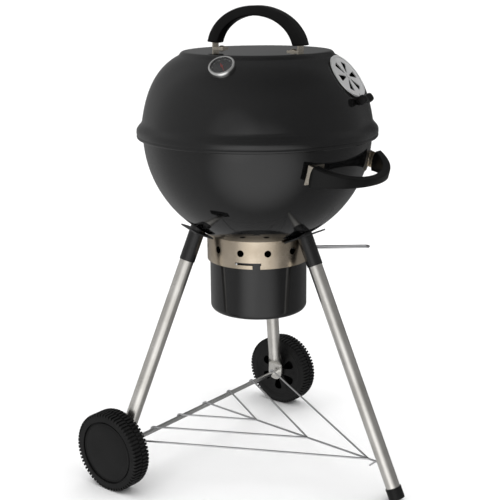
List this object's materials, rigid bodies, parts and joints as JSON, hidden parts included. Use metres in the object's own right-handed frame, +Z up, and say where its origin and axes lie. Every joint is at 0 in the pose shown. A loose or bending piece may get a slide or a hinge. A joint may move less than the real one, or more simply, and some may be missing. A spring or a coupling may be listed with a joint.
{
  "type": "kettle charcoal grill",
  "caption": "Round black kettle charcoal grill: domed lid with vent and thermometer, ash pot, leg tripod with a wheeled axle and wire rack.",
  "frame": {"origin": "on the floor under the centre of the overall footprint, 58.2 mm in front of the kettle's own axis", "axes": "+Z up, -Y towards the foot leg and side handle, +X along the axle to the right-hand wheel seen from the foot leg's side"},
  "size_m": [0.6322, 0.6064, 0.969],
  "materials": {
    "enamel": "glossy black porcelain enamel",
    "pot_enamel": "glossy black enamel",
    "socket_paint": "satin black paint",
    "ring_steel": "warm brushed stainless steel",
    "leg_steel": "brushed plated steel tube",
    "rod_steel": "plain plated steel",
    "wire_steel": "plated steel wire",
    "strap_steel": "brushed stainless strap",
    "grate_steel": "plated cooking steel",
    "sweeper_steel": "aluminised steel",
    "grip_plastic": "satin black heat-proof plastic",
    "foot_plastic": "black plastic",
    "tyre_plastic": "black moulded tread",
    "wheel_plastic": "dark moulded plastic",
    "cover_plastic": "smooth dark plastic",
    "chrome": "polished bezel",
    "dial_paint": "dark grey dial",
    "needle_paint": "red",
    "glass": "clear glass",
    "vent_aluminium": "brushed aluminium"
  },
  "bodies": {
    "stand": {"bowl": "enamel", "ash_ring": "ring_steel", "socket_front": "socket_paint", "socket_left": "socket_paint", "socket_right": "socket_paint", "leg_front": "leg_steel", "leg_left": "leg_steel", "leg_right": "leg_steel", "foot_cap": "foot_plastic", "axle": "rod_steel", "axle_washers": "rod_steel", "axle_caps": "rod_steel", "wire_rack": "wire_steel", "side_grip": "grip_plastic", "side_bracket": "strap_steel", "side_screws": "strap_steel", "charcoal_grate": "grate_steel", "cooking_grate": "grate_steel", "grate_tabs": "enamel"},
    "lid": {"lid_shell": "enamel", "lid_grip": "grip_plastic", "lid_bracket": "strap_steel", "lid_screws": "strap_steel", "thermo_bezel": "chrome", "thermo_dial": "dial_paint", "thermo_glass": "glass", "thermo_stem": "rod_steel", "thermo_nut": "rod_steel", "vent_seat": "enamel"},
    "needle": {"thermo_needle": "needle_paint"},
    "vent": {"vent_damper": "vent_aluminium", "vent_knob": "grip_plastic", "vent_rivets": "vent_aluminium"},
    "sweeper": {"sweeper_blades": "sweeper_steel", "sweeper_shaft": "rod_steel", "sweeper_lever": "wire_steel"},
    "pot": {"ash_pot": "pot_enamel", "pot_pins": "rod_steel"},
    "wheel_left": {"tyre_left": "tyre_plastic", "wheel_core_left": "wheel_plastic", "wheel_cover_left": "cover_plastic"},
    "wheel_right": {"tyre_right": "tyre_plastic", "wheel_core_right": "wheel_plastic", "wheel_cover_right": "cover_plastic"}
  },
  "joints": [
    {"name": "lid_lift", "type": "slide", "parent": "stand", "child": "lid", "axis": [0, 0, 1], "range_m": [0, 0.3]},
    {"name": "vent_turn", "type": "hinge", "parent": "lid", "child": "vent", "pos_m": [0.03451, -0.13749, 0.838], "axis": [0.1386, -0.7862, 0.6023], "range_deg": [0, 30]},
    {"name": "needle_turn", "type": "hinge", "parent": "lid", "child": "needle", "pos_m": [-0.16912, 0.00973, 0.861], "axis": [-0.582, -0.1669, 0.7959], "range_deg": [-120, 120], "stiffness_Nm_per_rad": 0.0004},
    {"name": "sweeper_turn", "type": "hinge", "parent": "stand", "child": "sweeper", "pos_m": [0, 0.05823, 0.4735], "axis": [0, 0, 1], "range_deg": [-20, 20]},
    {"name": "pot_twist", "type": "hinge", "parent": "stand", "child": "pot", "pos_m": [0, 0.05823, 0.4655], "axis": [0, 0, 1], "range_deg": [0, 22]},
    {"name": "wheel_left_spin", "type": "hinge", "parent": "stand", "child": "wheel_left", "pos_m": [-0.29512, 0.21251, 0.083], "axis": [1, 0, 0], "continuous": true},
    {"name": "wheel_right_spin", "type": "hinge", "parent": "stand", "child": "wheel_right", "pos_m": [0.29512, 0.21251, 0.083], "axis": [1, 0, 0], "continuous": true}
  ]
}
